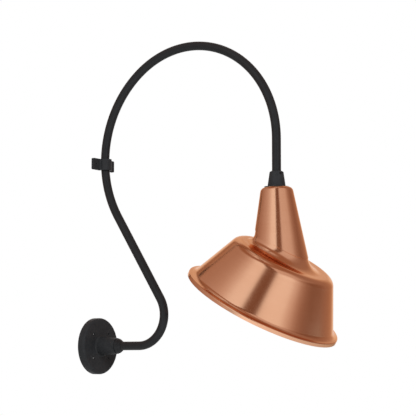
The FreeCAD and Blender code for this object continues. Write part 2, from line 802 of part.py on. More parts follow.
def make_shade_dome():
    body = new_body("shade_dome", dome_frame)
    wall_foot = S["rim_radius"] - S["flare_width"]
    wall_foot_level = S["rim_band"] + S["flare_rise"]
    turn_profile(body, "dome_form", [
        (ZERO, ZERO),
        (S["rim_radius"], ZERO),
        (S["rim_radius"], S["rim_band"], S["rim_round"]),
        (wall_foot, wall_foot_level, S["flare_round"]),
        (S["dome_top_radius"], S["dome_height"], S["dome_round"]),
        (ZERO, S["dome_height"]),
    ])
    doc.recompute()
    taper = tangent(S["neck_taper"])
    inset = (S["sheet"] + S["swivel_gap"]) / cosine(S["neck_taper"])
    at_crossing = S["neck_top_radius"] + S["neck_length"] * taper - inset
    sunk = at_crossing
    collar = body.newObject("PartDesign::AdditiveCone", "foot_collar")
    collar.setExpression("Radius1", (at_crossing + sunk * taper).text)
    collar.setExpression("Radius2", (at_crossing - sunk * taper).text)
    collar.setExpression("Height", (sunk * 2).text)
    axis = moved(0, S["dome_shift"].number, S["dome_height"].number).multiply(turned(X_AXIS, -dome_turn))
    collar.Placement = axis.multiply(moved(0, 0, -sunk.number))
    doc.recompute()
    collar_top = S["dome_height"] + S["foot_height"] + S["foot_lap"]
    cut_away(body, "collar_top", moved(0, 0, collar_top.number), S["rim_radius"] * 2, S["rim_radius"])
    doc.recompute()
    level = S["dome_height"].number
    seam = edges_where(body.Tip.Shape, lambda edge: not isinstance(edge.Curve, Part.Circle)
                       and abs(edge.BoundBox.ZMin - level) < 0.01
                       and abs(edge.BoundBox.ZMax - level) < 0.01)
    round_edges(body, "foot_cove", seam, S["foot_fillet"])
    doc.recompute()
    flat_ends = faces_where(body.Tip.Shape, lambda face: isinstance(face.Surface, Part.Plane)
                            and (face.CenterOfMass.z < 0.01
                                 or face.CenterOfMass.z > collar_top.number - 0.01))
    shell_out(body, "dome_sheet", flat_ends, S["sheet"])
    return body


# Lampholder: an aluminium cap on the stem, a porcelain body, and its metal parts

def make_holder_cap():
    body = new_body("lampholder_cap", moved(0, -reach, cap_level))
    height = S["holder_cap_height"]
    inside = S["holder_radius"] - S["holder_wall"]
    crown = height - S["holder_cap_crown"]
    turn_profile(body, "cap_spinning", [
        (stem_fit, height),
        (S["holder_cap_neck"], height, S["holder_wall"] / 3),
        (S["holder_cap_neck"], crown + S["holder_wall"], S["holder_wall"]),
        (S["holder_radius"], crown, S["holder_wall"] * 2),
        (S["holder_radius"], ZERO),
        (inside, ZERO),
        (inside, crown - S["holder_wall"], S["holder_wall"]),
        (stem_fit, crown - S["holder_wall"]),
    ])
    doc.recompute()
    across = moved(-S["holder_radius"].number * 1.5, 0, S["holder_spigot"].number / 2)
    bore(body, "side_screw_holes", S["holder_screw_size"] / 2, S["holder_radius"] * 3,
         across.multiply(turned(Y_AXIS, 90)))
    return body


def make_holder_body():
    body = new_body("lampholder_body", moved(0, -reach, mouth_level))
    length = S["holder_length"]
    shell_fit = S["shell_inner"] + S["shell_sheet"] + S["slip_gap"]
    spigot = S["holder_radius"] - S["holder_wall"] - S["slip_gap"]
    floor = length - S["holder_floor"]
    turn_profile(body, "porcelain", [
        (shell_fit + S["holder_mouth_flare"], ZERO),
        (S["holder_mouth_radius"], ZERO, S["holder_mouth_flare"] / 3),
        (S["holder_radius"], length - S["holder_floor"], S["holder_floor"]),
        (S["holder_radius"], length),
        (spigot, length),
        (spigot, length + S["holder_spigot"]),
        (ZERO, length + S["holder_spigot"]),
        (ZERO, floor),
        (shell_fit, floor),
        (shell_fit, S["holder_mouth_flare"] * 1.5),
    ])
    doc.recompute()
    for hand, name in ((1, "black_lead_hole"), (-1, "white_lead_hole")):
        place = moved(hand * S["lead_spread"].number / 2, 0, floor.number - 1)
        bore(body, name, S["lead_size"] / 2 + S["slip_gap"], S["holder_floor"] * 2, place)
        doc.recompute()
    depth = spigot - S["holder_wall"]
    for hand, name in ((1, "right_screw_hole"), (-1, "left_screw_hole")):
        place = moved(hand * depth.number, 0, (length + S["holder_spigot"] / 2).number)
        bore(body, name, S["holder_screw_size"] / 2, S["holder_wall"] * 4,
             place.multiply(turned(Y_AXIS, hand * 90)))
        doc.recompute()
    return body


def make_holder_screws():
    """Two side screws that hold the porcelain in the cap."""
    screws = []
    length = S["holder_wall"] * 2
    for hand, side in ((1, "right"), (-1, "left")):
        start = S["holder_radius"] - length
        place = moved(hand * start.number, -reach, cap_level + S["holder_spigot"].number / 2)
        body = new_body(f"{side}_holder_screw", place.multiply(turned(Y_AXIS, hand * 90)))
        shank = S["holder_screw_size"] / 2 - S["slip_gap"]
        head = S["holder_screw_head"] / 2
        tall = length + S["holder_screw_head_height"] + S["slip_gap"] * 4
        turn_profile(body, f"{side}_screw_blank", [
            (ZERO, S["slip_gap"]),
            (shank, S["slip_gap"]),
            (shank, length + S["slip_gap"] * 4),
            (head, length + S["slip_gap"] * 4),
            (head, tall, S["holder_screw_head_height"] * 0.6),
            (ZERO, tall),
        ])
        screws.append(body)
    doc.recompute()
    group = doc.addObject("Part::Compound", "holder_screws")
    group.Label = "holder_screws"
    group.Links = screws
    return group


def make_screw_shell():
    body = new_body("screw_shell", moved(0, -reach, floor_level))
    inner = S["shell_inner"]
    outer = inner + S["shell_sheet"]
    turn_profile(body, "shell_tube", [
        (inner, -S["shell_length"]),
        (outer, -S["shell_length"]),
        (outer, ZERO),
        (inner, ZERO),
    ])
    doc.recompute()
    sketch = new_sketch(body, "shell_tab_sketch", "XY_Plane")
    half = S["contact_width"] / 2
    near = -S["contact_tip"] - S["tab_gap"]
    far = -inner - S["shell_sheet"] / 2
    draw_outline(sketch, [(far, -half), (near, -half), (near, half), (far, half)])
    extrude(body, "shell_tab", sketch, S["shell_sheet"], reverse=True)
    return body


def make_centre_contact():
    body = new_body("centre_contact", moved(0, -reach, floor_level))
    sketch = new_sketch(body, "contact_outline", "XZ_Plane")
    leaf = S["contact_sheet"]
    rise = S["contact_rise"]
    reach_out = S["contact_reach"]
    tip = S["contact_tip"]
    knee = reach_out - tip
    draw_outline(sketch, [
        (reach_out, ZERO),
        (reach_out, -leaf),
        (knee - leaf, -leaf),
        (tip - leaf, -rise),
        (-tip, -rise),
        (-tip, leaf - rise),
        (tip, leaf - rise),
        (knee, ZERO),
    ])
    extrude(body, "contact_leaf", sketch, S["contact_width"], midplane=True)
    return body


# Lamp: a standard 60 mm globe lamp on a medium screw base

def lamp_levels():
    contact = S["lamp_length"] - S["lamp_contact_height"]
    base_end = contact - S["lamp_insulator_height"]
    return contact, base_end, base_end - S["lamp_base_length"]


def lamp_outline(inset, mouth):
    """Half of the globe lamp's outline, drawn in from the outside by the inset."""
    contact, base_end, base_start = lamp_levels()
    radius = S["lamp_radius"] - inset
    throat = S["lamp_base_radius"] - S["lamp_base_sheet"] - S["slip_gap"] - inset
    return [
        (ZERO, inset),
        (radius, inset, radius - S["slip_gap"]),
        (radius, S["lamp_shoulder"], S["lamp_shoulder_round"] - inset),
        (S["lamp_waist_radius"] - inset, S["lamp_waist"], S["lamp_waist_round"] + inset),
        (throat, base_start - S["seat_gap"], S["lamp_seam"] + inset),
        (throat, mouth),
        (ZERO, mouth),
    ]


def make_lamp_glass():
    body = new_body("bulb_glass", moved(0, -reach, lamp_level))
    contact, base_end, base_start = lamp_levels()
    throat_end = base_start + S["lamp_seam"]
    turn_profile(body, "glass_form", lamp_outline(ZERO, throat_end))
    doc.recompute()
    turn_profile(body, "glass_inside", lamp_outline(S["lamp_glass"], throat_end + S["lamp_glass"]),
                 "PartDesign::Groove")
    return body


def make_lamp_base():
    body = new_body("bulb_base", moved(0, -reach, lamp_level))
    contact, base_end, base_start = lamp_levels()
    outer = S["lamp_base_radius"]
    inner = outer - S["lamp_base_sheet"]
    turn_profile(body, "base_shell", [
        (inner, base_start),
        (outer, base_start),
        (outer, base_end),
        (inner, base_end),
    ])
    return body


def make_lamp_insulator():
    body = new_body("bulb_insulator", moved(0, -reach, lamp_level))
    contact, base_end, base_start = lamp_levels()
    plug = S["lamp_base_radius"] - S["lamp_base_sheet"] - S["slip_gap"]
    turn_profile(body, "insulator_glass", [
        (ZERO, base_end - S["lamp_insulator_height"]),
        (plug, base_end - S["lamp_insulator_height"]),
        (plug, base_end),
        (S["lamp_contact_radius"], contact),
        (ZERO, contact),
    ])
    return body


def make_lamp_contact():
    body = new_body("bulb_contact", moved(0, -reach, lamp_level))
    contact, base_end, base_start = lamp_levels()
    turn_profile(body, "contact_disc", [
        (ZERO, contact),
        (S["lamp_contact_radius"], contact),
        (S["lamp_contact_radius"], S["lamp_length"], S["lamp_contact_height"] / 2),
        (ZERO, S["lamp_length"]),
    ])
    return body


def make_lead(label, hand):
    last_run = S["arm_drop"] + (arm_end.y - floor_level)
    lead, end = bent_pipe(label, S["lead_inset"], last_run, [S["lead_size"] / 2],
                          S["lead_spread"] / 2 * hand)
    return lead


hub_screw_length = S["hub_tip_radius"] - arm_radius
hub_screw_place = moved(0, -S["hub_screw_out"].number, -arm_radius.number).multiply(turned(X_AXIS, 180))
coupling_screw_level = (coupling_level + S["coupling_length"].number
                        - S["coupling_screw_drop"].number)
coupling_screw_frame = moved(0, -reach, 0).multiply(coupling_screw_place(coupling_screw_level))
coupling_screw_start = moved(0, 0, arm_radius.number)

nodes = [
    make_wall_plate(),
    make_wall_gasket(),
    make_hub_collar(),
    make_set_screw("hub_set_screw", hub_screw_place, hub_screw_length),
    make_ground_screw(),
    make_wire_bushing(),
    arm_tube,
    make_pipe_strap(),
    make_coupling(),
    make_set_screw("coupling_set_screw", coupling_screw_frame.multiply(coupling_screw_start),
                   S["coupling_top_radius"] - arm_radius),
    make_stem(),
    make_swivel_washer(),
    make_under_washer(),
    make_locknut(),
    make_shade_neck(),
    make_shade_dome(),
    make_holder_cap(),
    make_holder_body(),
    make_holder_screws(),
    make_screw_shell(),
    make_centre_contact(),
    make_lamp_glass(),
    make_lamp_base(),
    make_lamp_insulator(),
    make_lamp_contact(),
    make_lead("lead_black", 1),
    make_lead("lead_white", -1),
]
doc.recompute()

for item in doc.Objects:
    if "Invalid" in item.State or "Error" in item.State:
        raise RuntimeError(f"{item.Label} failed to build: {item.State}")
for node in nodes:
    shape = node.Shape
    if shape.isNull() or not shape.isValid():
        raise RuntimeError(f"{node.Label} has no valid shape")
    box = shape.optimalBoundingBox()
    print(node.Label, "solids", len(shape.Solids), "volume", round(shape.Volume, 1),
          "Y", round(box.YMin, 1), round(box.YMax, 1), "Z", round(box.ZMin, 1), round(box.ZMax, 1))

os.makedirs("parts", exist_ok=True)
for node in nodes:
    node.Shape.exportStep(f"parts/{node.Label}.step")
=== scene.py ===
# %% [markdown]
# # A gooseneck wall sconce
#
# A wall light in three main parts: a round black plate on the wall, a black pipe arm bent into one big
# hook, and a spun copper shade that hangs under the hook's end. The construction comes in as a packed
# frame and stays where it stands. This script gives every piece its finish, rebuilds the shapes whose
# reflections need a smoother surface than the imported triangles, and sets up the studio.

import json
import math

import bmesh
import bpy
from mathutils import Matrix, Vector


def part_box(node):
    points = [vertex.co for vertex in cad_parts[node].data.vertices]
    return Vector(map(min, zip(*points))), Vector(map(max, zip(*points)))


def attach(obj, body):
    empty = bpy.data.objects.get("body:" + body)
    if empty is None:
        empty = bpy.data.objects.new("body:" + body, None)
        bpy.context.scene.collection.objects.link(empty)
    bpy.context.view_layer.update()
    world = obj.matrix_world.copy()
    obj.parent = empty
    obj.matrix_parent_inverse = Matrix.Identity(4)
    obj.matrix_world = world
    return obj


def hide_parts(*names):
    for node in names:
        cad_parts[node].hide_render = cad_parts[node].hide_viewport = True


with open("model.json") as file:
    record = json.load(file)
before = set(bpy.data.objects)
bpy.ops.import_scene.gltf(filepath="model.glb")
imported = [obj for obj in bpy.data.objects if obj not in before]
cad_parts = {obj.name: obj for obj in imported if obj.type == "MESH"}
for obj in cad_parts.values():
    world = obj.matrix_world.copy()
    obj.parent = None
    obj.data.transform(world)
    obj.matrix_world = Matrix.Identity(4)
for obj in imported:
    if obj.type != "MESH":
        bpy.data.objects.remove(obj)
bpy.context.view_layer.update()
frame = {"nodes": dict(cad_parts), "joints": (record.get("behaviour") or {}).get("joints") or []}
nodes = frame["nodes"]

# %% [markdown]
# ## Measures
#
# All lengths are metres in the frame's own axes: +Z up, the wall at Y = 0, and the light standing out
# along -Y. What the frame can tell is read from it. The rest is named here once, in millimetres, because
# a workshop drawing of such a light is in millimetres too.

# %% Read the measures that the frame gives
MM = 0.001

swivel = next(joint for joint in frame["joints"] if joint["name"] == "shade_swivel")
reach = -swivel["pos_m"][1]
coupling_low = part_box("neck_coupling")[0]
arm_low, arm_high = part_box("arm_tube")
pipe_radius = (arm_high[0] - arm_low[0]) / 2
print("reach of the arm", round(reach, 4), "pipe radius", round(pipe_radius, 5))

# %% [markdown]
# ## The camera
#
# The photograph was taken from low in front of the light, a little under the plate, looking slightly up.
# A long lens keeps the two sides of the shade nearly parallel. The place, the direction and the lens were
# found by matching the pipe's bends and the shade's rim with the photograph. Aiming the camera with a
# direction instead of three angles keeps the numbers readable.

# %% Set the camera
CAMERA_PLACE = Vector((-2.9276, -2.2884, -0.0446))
CAMERA_LOOK = Vector((0.82779, 0.55102, 0.10557))
LENS = 127.2
SENSOR_WIDTH = 36.0

camera_data = bpy.data.cameras.new("camera")
camera_data.lens = LENS
camera_data.sensor_width = SENSOR_WIDTH
camera = bpy.data.objects.new("camera", camera_data)
camera.location = CAMERA_PLACE
camera.rotation_euler = CAMERA_LOOK.to_track_quat("-Z", "Y").to_euler()
bpy.context.scene.collection.objects.link(camera)
bpy.context.scene.camera = camera
bpy.context.scene.view_settings.view_transform = "Standard"
print("camera stands", round(CAMERA_PLACE.length, 2), "m from the plate")

# %% [markdown]
# ## Node trees as expressions
#
# A material is a small graph of nodes. Wiring it by hand hides the idea, so two helpers make it read like
# arithmetic. `Wire` holds one output and overloads + - * /, and each operator adds a Math node. `Graph`
# adds any other node: its settings first, then the values or links of its sockets. Sockets are named
# where their names are their own. Where two share a name, as on the Mix nodes, they are numbered.

# %% Wire and Graph
class Wire:
    """One output of a node tree. Arithmetic on it adds Math nodes."""

    def __init__(self, graph, socket):
        self.graph = graph
        self.socket = socket

    def math(self, operation, first, second=None):
        sockets = {0: first} if second is None else {0: first, 1: second}
        return self.graph.add("ShaderNodeMath", sockets, operation=operation)

    def other(self, name):
        """Another output of the same node."""
        return Wire(self.graph, self.socket.node.outputs[name])

    def __add__(self, other):
        return self.math("ADD", self, other)

    def __radd__(self, other):
        return self.math("ADD", other, self)

    def __sub__(self, other):
        return self.math("SUBTRACT", self, other)

    def __rsub__(self, other):
        return self.math("SUBTRACT", other, self)

    def __mul__(self, other):
        return self.math("MULTIPLY", self, other)

    def __rmul__(self, other):
        return self.math("MULTIPLY", other, self)

    def __truediv__(self, other):
        return self.math("DIVIDE", self, other)


class Graph:
    """A node tree under construction."""

    def __init__(self, tree):
        self.tree = tree
        tree.nodes.clear()

    def add(self, kind, sockets=None, out=0, stops=None, **settings):
        node = self.tree.nodes.new(kind)
        for key, value in settings.items():
            setattr(node, key, value)
        if stops:
            ramp = node.color_ramp
            ramp.elements[0].position, ramp.elements[0].color = stops[0]
            ramp.elements[1].position, ramp.elements[1].color = stops[-1]
            for place, colour in stops[1:-1]:
                ramp.elements.new(place).color = colour
        for key, value in (sockets or {}).items():
            if isinstance(value, Wire):
                self.tree.links.new(value.socket, node.inputs[key])
            else:
                node.inputs[key].default_value = value
        return Wire(self, node.outputs[out]) if node.outputs else None

    def smooth_step(self, value, start, end):
        """0 before start, 1 after end, with a soft rise between them."""
        sockets = {"Value": value, "From Min": start, "From Max": end}
        return self.add("ShaderNodeMapRange", sockets, interpolation_type="SMOOTHSTEP")

    def mix(self, share, first, second):
        """A colour between two: the first at a share of 0, the second at 1."""
        return self.add("ShaderNodeMix", {0: share, 6: first, 7: second}, out=2, data_type="RGBA")

    def dot(self, first, second):
        """How far one direction runs along another."""
        return self.add("ShaderNodeVectorMath", {0: first, 1: second}, out="Value",
                        operation="DOT_PRODUCT")


print("helpers for node trees ready")

# %% [markdown]
# ## The studio
#
# Polished copper adds only a tint of its own: what it shows is the room. In the photograph it shows
# two tall bright panels either side of the camera, a dark slot between them, and a dim side. That room
# is painted on the world as two ramps round the horizon, a low one and a high one, with a dim warm
# ground below and a dim warm ring of ceiling above. It stays where it is when a camera moves, and only
# mirror rays see it. The camera sees plain white behind the light, and matt surfaces are lit by even
# light. Lamps shaped as panels would work too, but a ramp is easier to read and to change.
#
# A stop of a ramp is an angle round the horizon and a level of light. The angle is in degrees from the
# way to the camera, and grows towards the camera's right. The edges between ramps, ceiling and ground are
# given by how far a direction points up, from -1 for straight down to 1 for straight up.

# %% Paint the world
ROOM = [(-180, 1.0), (-159, 1.0), (-155, 0.2), (-152, 0.3), (-147, 0.41), (-108, 0.44), (-90, 0.52),
        (-72, 0.58), (-62, 0.65), (-53, 0.74), (-45, 0.84), (-38, 0.96), (-16, 1.02), (-13, 0.18),
        (4, 0.18), (7, 1.02), (37, 1.0), (43, 0.82), (49, 0.69), (55, 0.52), (61, 0.41), (67, 0.33),
        (80, 0.25), (100, 0.28), (117, 0.37), (130, 0.43), (148, 0.6), (156, 1.0), (180, 1.0)]
HIGH_ROOM = [(-180, 0.84), (-162, 0.76), (-156, 0.28), (-150, 0.48), (-108, 0.5), (-72, 0.62),
             (-53, 0.76), (-38, 0.96), (-16, 1.02), (-13, 0.22), (8, 0.22), (11, 0.74), (57, 0.7),
             (65, 0.58), (79, 0.43), (100, 0.36), (134, 0.4), (160, 0.7), (180, 0.84)]
HIGH_EDGE = (math.sin(math.radians(19)), math.sin(math.radians(25)))
CEILING = (0.36, 0.19, 0.12, 1)
CEILING_START = (0.74, 0.84)
CEILING_END = (0.93, 0.98)
GROUND_LEVEL = 0.35
GROUND_TINT = (1.0, 0.7, 0.55)
GROUND_EDGE = (-0.35, -0.12)
DARK_LEVEL = 0.15
DARK_TINT = (1.0, 0.42, 0.2)
TINT_CURVE = 0.75
FILL_LEVEL = 0.4


def room_stops(levels):
    """Stops of a ramp round the horizon. The dim parts of the room are warm, the panels are white."""
    made = []
    for angle, level in levels:
        share = min(1.0, max(0.0, (level - DARK_LEVEL) / (1 - DARK_LEVEL))) ** TINT_CURVE
        tint = [dark + (1 - dark) * share for dark in DARK_TINT]
        made.append(((angle + 180) / 360, (*[level * part for part in tint], 1)))
    return made


world = bpy.data.worlds.new("studio")
bpy.context.scene.world = world
world.use_nodes = True
studio = Graph(world.node_tree)
direction = studio.add("ShaderNodeTexCoord", out="Generated")
toward_camera = Vector((-CAMERA_LOOK.x, -CAMERA_LOOK.y, 0)).normalized()
camera_right = Vector((-toward_camera.y, toward_camera.x, 0))
along_right = studio.dot(direction, camera_right)
along_back = studio.dot(direction, toward_camera)
azimuth = studio.add("ShaderNodeMath", {0: along_right, 1: along_back}, operation="ARCTAN2")
turn = azimuth / (2 * math.pi) + 0.5
low_room = studio.add("ShaderNodeValToRGB", {0: turn}, stops=room_stops(ROOM))
high_room = studio.add("ShaderNodeValToRGB", {0: turn}, stops=room_stops(HIGH_ROOM))
up = studio.dot(direction, Vector((0, 0, 1)))
is_high = studio.smooth_step(up, *HIGH_EDGE)
room = studio.mix(is_high, low_room, high_room)
is_ceiling = studio.smooth_step(up, *CEILING_START) * (1 - studio.smooth_step(up, *CEILING_END))
room = studio.mix(is_ceiling, room, CEILING)
is_ground = 1 - studio.smooth_step(up, *GROUND_EDGE)
room = studio.mix(is_ground, room, (*[GROUND_LEVEL * part for part in GROUND_TINT], 1))
is_camera = studio.add("ShaderNodeLightPath", out="Is Camera Ray")
is_glossy = is_camera.other("Is Glossy Ray")
is_seen = is_camera + is_camera.other("Is Transmission Ray")
plain = is_seen + (1 - is_seen) * FILL_LEVEL
seen_room = studio.add("ShaderNodeBackground", {"Color": room, "Strength": 1.0})
plain_light = studio.add("ShaderNodeBackground", {"Color": (1, 1, 1, 1), "Strength": plain})
surface = studio.add("ShaderNodeMixShader", {0: is_glossy, 1: plain_light, 2: seen_room})
studio.add("ShaderNodeOutputWorld", {"Surface": surface})
print("world painted with", len(ROOM), "stops, fill level", FILL_LEVEL)

# %% [markdown]
# A soft key light above and to the left models the matt pieces, and a pale floor lies below the light.
# Mirror rays don't see the key, because the panels on the world already stand for it. The floor is clear
# from below, so that a camera under it still sees into the shade.

# %% Key light and floor
KEY_SIZE = 1.6
KEY_POWER = 95.0
KEY_PLACE = Vector((-2.2, -1.9, 2.0))
KEY_AIM = Vector((0, -0.3, 0.3))
FLOOR_LEVEL = -0.45
FLOOR_REACH = 5.0
FLOOR_TONES = ((0.9, 0.9, 0.9, 1), (0.93, 0.93, 0.93, 1))
FLOOR_GRAIN = {"Scale": 6.0, "Detail": 2.0}
FLOOR_ROUGHNESS = 0.9

key_data = bpy.data.lights.new("key", "AREA")
key_data.shape = "SQUARE"
key_data.size = KEY_SIZE
key_data.energy = KEY_POWER
key = bpy.data.objects.new("key", key_data)
key.location = KEY_PLACE
key.rotation_euler = (KEY_AIM - KEY_PLACE).to_track_quat("-Z", "Y").to_euler()
key.visible_glossy = False
bpy.context.scene.collection.objects.link(key)

floor_form = bmesh.new()
bmesh.ops.create_grid(floor_form, x_segments=1, y_segments=1, size=FLOOR_REACH)
bmesh.ops.translate(floor_form, verts=floor_form.verts, vec=(0, 0, FLOOR_LEVEL))
floor_mesh = bpy.data.meshes.new("floor")
floor_form.to_mesh(floor_mesh)
floor_form.free()
floor = bpy.data.objects.new("floor", floor_mesh)
bpy.context.scene.collection.objects.link(floor)
floor_paint = bpy.data.materials.new("floor")
floor_paint.use_nodes = True
floor_graph = Graph(floor_paint.node_tree)
floor_place = floor_graph.add("ShaderNodeTexCoord", out="Object")
floor_grain = floor_graph.add("ShaderNodeTexNoise", {"Vector": floor_place, **FLOOR_GRAIN})
floor_colour = floor_graph.mix(floor_grain, *FLOOR_TONES)
floor_shader = floor_graph.add("ShaderNodeBsdfPrincipled",
                               {"Base Color": floor_colour, "Roughness": FLOOR_ROUGHNESS})
from_below = floor_graph.add("ShaderNodeNewGeometry", out="Backfacing")
clear = floor_graph.add("ShaderNodeBsdfTransparent")
floor_surface = floor_graph.add("ShaderNodeMixShader", {0: from_below, 1: floor_shader, 2: clear})
floor_graph.add("ShaderNodeOutputMaterial", {"Surface": floor_surface})
floor_mesh.materials.append(floor_paint)
print("floor at", FLOOR_LEVEL)

# %% [markdown]
# ## Finishes
#
# Every finish starts the same way: a shader with its fixed values, a colour and a roughness that vary
# a little over the surface, and a bump for what the fingers would feel. The patterns read the piece's
# own coordinates in metres, so a scale of 1000 is a pattern a millimetre wide. A bump's height is in
# metres too.

# %% One function that makes a finish
DRIFT_DETAIL = 3.0
SOFT_EDGE = (0.35, 0.65)


def finish(name, colour, roughness, bump=None, **fixed):
    """A material from functions that draw its colour, roughness and height on a graph."""
    material = bpy.data.materials.new(name)
    material.use_nodes = True
    graph = Graph(material.node_tree)
    place = graph.add("ShaderNodeTexCoord", out="Object")
    sockets = {"Base Color": colour(graph, place), "Roughness": roughness(graph, place)}
    for key, value in fixed.items():
        sockets[key.replace("_", " ")] = value
    if bump:
        height, distance = bump(graph, place)
        sockets["Normal"] = graph.add("ShaderNodeBump", {"Height": height, "Distance": distance})
    shader = graph.add("ShaderNodeBsdfPrincipled", sockets)
    graph.add("ShaderNodeOutputMaterial", {"Surface": shader})
    return material


def noise(graph, place, scale, detail, roughness=0.5):
    """Soft noise between 0 and 1."""
    return graph.add("ShaderNodeTexNoise", {"Vector": place, "Scale": scale, "Detail": detail,
                                            "Roughness": roughness})


def two_tone(first, second, scale):
    """A colour that drifts between two tones."""
    def draw(graph, place):
        mask = graph.smooth_step(noise(graph, place, scale, DRIFT_DETAIL), *SOFT_EDGE)
        return graph.mix(mask, (*first, 1), (*second, 1))
    return draw


def drifting(base, spread, scale):
    """A number that wanders round its base."""
    def draw(graph, place):
        return base + spread * (noise(graph, place, scale, DRIFT_DETAIL) - 0.5)
    return draw


def grainy(scale, distance, detail=2.0):
    """A grain for the bump, and how far it stands out."""
    def draw(graph, place):
        return noise(graph, place, scale, detail), distance
    return draw


print("finish helpers ready")

# %% [markdown]
# **Powder coat.** The plate, arm, strap and coupling are coated in satin black powder that melts into a
# skin with a fine orange peel. On the pipe the peel is about half a millimetre wide and hardly deep. On
# the castings it lies over their own grain, so it is wider and deeper. It breaks up the highlights.

# %% Satin black powder coat
powder_black = finish(
    "powder_black",
    two_tone((0.0100, 0.0106, 0.0119), (0.0115, 0.0122, 0.0136), 60),
    drifting(0.40, 0.06, 220),
    grainy(1900, 0.00001),
    Specular_IOR_Level=0.25,
)
cast_black = finish(
    "cast_black",
    two_tone((0.0200, 0.0210, 0.0228), (0.0238, 0.0248, 0.0266), 90),
    drifting(0.44, 0.10, 260),
    grainy(900, 0.00003, 4.0),
    Specular_IOR_Level=0.13,
)
oxide_black = finish(
    "oxide_black",
    two_tone((0.02, 0.02, 0.021), (0.035, 0.034, 0.033), 500),
    drifting(0.35, 0.2, 700),
    Metallic=0.6,
)
print("black finishes ready")

# %% [markdown]
# **Spun copper.** The sheet is pressed against a turning form with a roller, which leaves hair-fine rings
# round the axis, and is then polished until only their ghost is left. The rings must follow each piece's
# own axis, so the pattern first maps the point into the piece's frame, takes its distance from the axis
# and its height, and draws noise on those two only.

# %% Spun copper
EDGE_TINT = (0.92, 0.66, 0.48, 1)
COPPER_LIGHT = (0.810, 0.455, 0.290)
COPPER_DARK = (0.775, 0.415, 0.255)
POLISHED = 0.17
RAW_LIGHT = (0.66, 0.36, 0.24)
RAW_DARK = (0.56, 0.28, 0.18)
UNPOLISHED = 0.40
RING_DETAIL = 4.0
RING_ROUGHNESS = 0.6
RING_SCALES = {"colour": 260.0, "roughness": 700.0, "bump": 1300.0}
RING_SHARE = 0.3
RING_DEPTH = 0.000006
DRIFT_SCALE = 9.0
SMEAR_SCALE = 30.0
SMEAR_DETAIL = 4.0
ROUGHNESS_SPREAD = 0.05


def spun_metal(name, place_matrix, light, dark, base_roughness):
    """A metal with rings round the axis of the piece that stands at a matrix."""
    euler = place_matrix.to_euler()
    offset = place_matrix.to_translation()

    def axis_place(graph, place):
        return graph.add("ShaderNodeMapping", {"Vector": place, "Location": offset, "Rotation": euler},
                         vector_type="TEXTURE")

    def rings(graph, place, use):
        x = graph.add("ShaderNodeSeparateXYZ", {0: axis_place(graph, place)}, out="X")
        y = x.other("Y")
        radius = graph.add("ShaderNodeMath", {0: x * x + y * y}, operation="SQRT")
        spot = graph.add("ShaderNodeCombineXYZ", {0: radius, 1: x.other("Z"), 2: 0.0})
        return noise(graph, spot, RING_SCALES[use], RING_DETAIL, RING_ROUGHNESS)

    def colour(graph, place):
        drift = noise(graph, place, DRIFT_SCALE, DRIFT_DETAIL)
        blend = drift * (1 - RING_SHARE) + rings(graph, place, "colour") * RING_SHARE
        return graph.mix(graph.smooth_step(blend, *SOFT_EDGE), (*light, 1), (*dark, 1))

    def roughness(graph, place):
        smear = noise(graph, place, SMEAR_SCALE, SMEAR_DETAIL)
        ringed = base_roughness + ROUGHNESS_SPREAD * (rings(graph, place, "roughness") - 0.5)
        return ringed + ROUGHNESS_SPREAD * (smear - 0.5)

    def bump(graph, place):
        return rings(graph, place, "bump"), RING_DEPTH

    return finish(name, colour, roughness, bump, Metallic=1.0, Specular_Tint=EDGE_TINT)


print("spun metal ready")

# %% [markdown]
# **The hidden pieces.** The mouth of the shade is open, so the lampholder and the lamp get their real
# finishes too: glazed porcelain, thin brass, zinc-plated steel, black rubber and a frosted globe.

# %% Finishes of the inner pieces
rubber = finish("rubber", two_tone((0.018, 0.018, 0.018), (0.03, 0.03, 0.029), 120),
                drifting(0.75, 0.15, 300), grainy(1500, 0.00004))
zinc = finish("zinc", two_tone((0.50, 0.51, 0.52), (0.60, 0.60, 0.60), 90),
              drifting(0.32, 0.18, 260), grainy(900, 0.00003), Metallic=1.0)
aluminium = finish("aluminium", two_tone((0.66, 0.66, 0.67), (0.74, 0.74, 0.74), 70),
                   drifting(0.34, 0.12, 400), grainy(1200, 0.00002), Metallic=1.0)
brass = finish("brass", two_tone((0.62, 0.44, 0.19), (0.74, 0.55, 0.27), 160),
               drifting(0.26, 0.14, 420), grainy(1100, 0.00002), Metallic=1.0)
nickel = finish("nickel", two_tone((0.62, 0.60, 0.56), (0.70, 0.68, 0.64), 140),
                drifting(0.22, 0.12, 380), Metallic=1.0)
solder = finish("solder", two_tone((0.42, 0.42, 0.42), (0.58, 0.58, 0.57), 700),
                drifting(0.45, 0.2, 900), grainy(700, 0.00012), Metallic=1.0)
green_zinc = finish("green_zinc", two_tone((0.03, 0.22, 0.08), (0.06, 0.30, 0.12), 300),
                    drifting(0.38, 0.15, 500), Metallic=0.7)
porcelain = finish("porcelain", two_tone((0.80, 0.79, 0.74), (0.86, 0.85, 0.81), 50),
                   drifting(0.12, 0.06, 120), grainy(90, 0.00008), Coat_Weight=0.5, Coat_Roughness=0.05)
black_glass = finish("black_glass", two_tone((0.008, 0.008, 0.010), (0.014, 0.013, 0.016), 200),
                     drifting(0.10, 0.05, 300), Coat_Weight=0.6)
frosted_glass = finish("frosted_glass", two_tone((0.90, 0.89, 0.86), (0.93, 0.92, 0.90), 30),
                       drifting(0.30, 0.06, 200), grainy(1600, 0.00001), Transmission_Weight=0.35)
lead_black = finish("lead_black", two_tone((0.014, 0.014, 0.014), (0.022, 0.022, 0.021), 200),
                    drifting(0.5, 0.1, 500), grainy(1200, 0.00003))
lead_white = finish("lead_white", two_tone((0.74, 0.73, 0.70), (0.80, 0.79, 0.77), 200),
                    drifting(0.5, 0.1, 500), grainy(1200, 0.00003))
print("inner finishes ready, materials so far:", len(bpy.data.materials))

